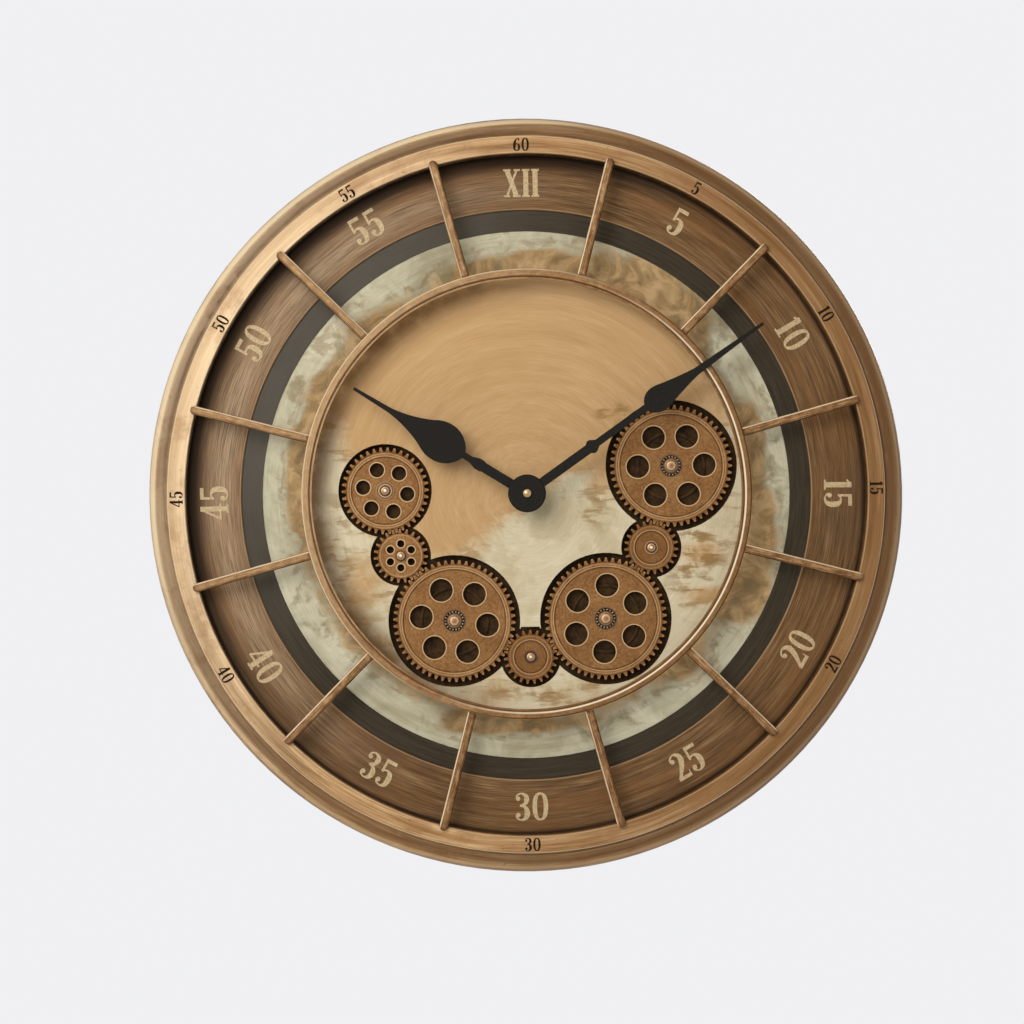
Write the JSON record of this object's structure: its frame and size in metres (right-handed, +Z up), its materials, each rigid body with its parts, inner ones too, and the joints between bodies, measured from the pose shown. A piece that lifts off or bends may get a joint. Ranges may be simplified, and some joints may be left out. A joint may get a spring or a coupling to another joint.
{
  "type": "wall clock",
  "caption": "Round wall clock: moulded ring, brushed numeral ring, open barred grille, and a train of meshed gears turning in a window of the dial, with a battery drive.",
  "frame": {"origin": "middle of the round hole of the keyhole in the hanger plate, on the wall plane, at the top of the back", "axes": "+Z up, +X to the right as seen from the front, +Y into the wall, the front faces -Y"},
  "size_m": [0.6, 0.066, 0.6],
  "materials": {
    "bronze_ring": "MDF in antique bronze lacquer",
    "board": "raw MDF, dark on its front",
    "brushed_ring": "MDF in brushed brown metal lacquer",
    "dark_ring": "MDF in dark brown lacquer",
    "dial": "brushed brass colour with green patina",
    "grille": "antique copper lacquer",
    "gear": "cut board in copper lacquer",
    "bridge": "dark brown lacquer",
    "steel": "bright",
    "brass": "polished",
    "hand": "matt black lacquer",
    "housing": "matt black",
    "slider": "matt pale",
    "cell": "plain gloss sleeve"
  },
  "bodies": {
    "clock_case": {"back_board": "board", "bearing_caps": "brass", "bearing_inner_races": "steel", "board_screws": "steel", "bridge_screws": "steel", "bushing_nut": "brass", "bushing_washer": "brass", "case_ring": "bronze_ring", "chapter_ring": "brushed_ring", "dark_ring": "dark_ring", "dial_plate": "dial", "drive_case": "housing", "drive_cells": "cell", "drive_contacts": "steel", "drive_screws": "steel", "gear_bridge": "bridge", "gear_posts": "steel", "hanger_plate": "steel", "hanger_screws": "steel", "inner_ring": "grille", "movement_bushing": "brass", "movement_case": "housing", "movement_cell": "cell", "movement_contacts": "steel", "post_screws": "steel", "post_washers": "brass", "spoke_01": "grille", "spoke_02": "grille", "spoke_03": "grille", "spoke_04": "grille", "spoke_05": "grille", "spoke_06": "grille", "spoke_07": "grille", "spoke_08": "grille", "spoke_09": "grille", "spoke_10": "grille", "spoke_11": "grille", "spoke_12": "grille"},
    "drive_switch": {"drive_switch": "slider"},
    "gear_1": {"gear_1": "gear"},
    "gear_2": {"gear_2": "gear"},
    "gear_3": {"gear_3": "gear", "gear_3_outer_race": "steel", "gear_3_balls": "steel"},
    "gear_4": {"gear_4": "gear", "drive_shaft": "steel", "shaft_screw": "steel"},
    "gear_5": {"gear_5": "gear", "gear_5_outer_race": "steel", "gear_5_balls": "steel"},
    "gear_6": {"gear_6": "gear"},
    "gear_7": {"gear_7": "gear", "gear_7_outer_race": "steel", "gear_7_balls": "steel"},
    "hour_hand": {"hour_hand": "hand", "hour_tube": "brass"},
    "minute_hand": {"minute_hand": "hand", "minute_arbor": "brass", "hand_nut": "brass"},
    "setting_knob": {"setting_knob": "housing"}
  },
  "joints": [
    {"name": "minute_hand_turn", "type": "hinge", "parent": "clock_case", "child": "minute_hand", "pos_m": [0, -0.0602, -0.287], "axis": [0, 1, 0], "continuous": true},
    {"name": "hour_hand_turn", "type": "hinge", "parent": "clock_case", "child": "hour_hand", "pos_m": [0, -0.0552, -0.287], "axis": [0, 1, 0], "continuous": true},
    {"name": "setting_knob_turn", "type": "hinge", "parent": "clock_case", "child": "setting_knob", "pos_m": [0.013, -0.0085, -0.275], "axis": [0, 1, 0], "continuous": true},
    {"name": "drive_switch_slide", "type": "slide", "parent": "clock_case", "child": "drive_switch", "axis": [1, 0, 0], "range_m": [0, 0.003]},
    {"name": "gear_5_turn", "type": "hinge", "parent": "clock_case", "child": "gear_5", "pos_m": [0.0618, -0.031, -0.38726], "axis": [0, 1, 0], "continuous": true},
    {"name": "gear_1_turn", "type": "hinge", "parent": "clock_case", "child": "gear_1", "pos_m": [-0.11274, -0.031, -0.28234], "axis": [0, 1, 0], "continuous": true},
    {"name": "gear_2_turn", "type": "hinge", "parent": "clock_case", "child": "gear_2", "pos_m": [-0.10109, -0.031, -0.33443], "axis": [0, 1, 0], "continuous": true},
    {"name": "gear_3_turn", "type": "hinge", "parent": "clock_case", "child": "gear_3", "pos_m": [-0.05915, -0.031, -0.38715], "axis": [0, 1, 0], "continuous": true},
    {"name": "gear_4_turn", "type": "hinge", "parent": "clock_case", "child": "gear_4", "pos_m": [0.0013, -0.031, -0.4169], "axis": [0, 1, 0], "continuous": true},
    {"name": "gear_6_turn", "type": "hinge", "parent": "clock_case", "child": "gear_6", "pos_m": [0.09909, -0.031, -0.33114], "axis": [0, 1, 0], "continuous": true},
    {"name": "gear_7_turn", "type": "hinge", "parent": "clock_case", "child": "gear_7", "pos_m": [0.11619, -0.031, -0.26597], "axis": [0, 1, 0], "continuous": true}
  ],
  "couplings": [
    {"joint": "hour_hand_turn", "follows": "minute_hand_turn", "ratio": 0.083333},
    {"joint": "setting_knob_turn", "follows": "minute_hand_turn", "ratio": 1},
    {"joint": "gear_3_turn", "follows": "gear_5_turn", "ratio": 1},
    {"joint": "gear_7_turn", "follows": "gear_5_turn", "ratio": 1},
    {"joint": "gear_2_turn", "follows": "gear_5_turn", "ratio": -2.3478},
    {"joint": "gear_4_turn", "follows": "gear_5_turn", "ratio": -2.3478},
    {"joint": "gear_6_turn", "follows": "gear_5_turn", "ratio": -2.3478},
    {"joint": "gear_1_turn", "follows": "gear_5_turn", "ratio": 1.4211}
  ]
}
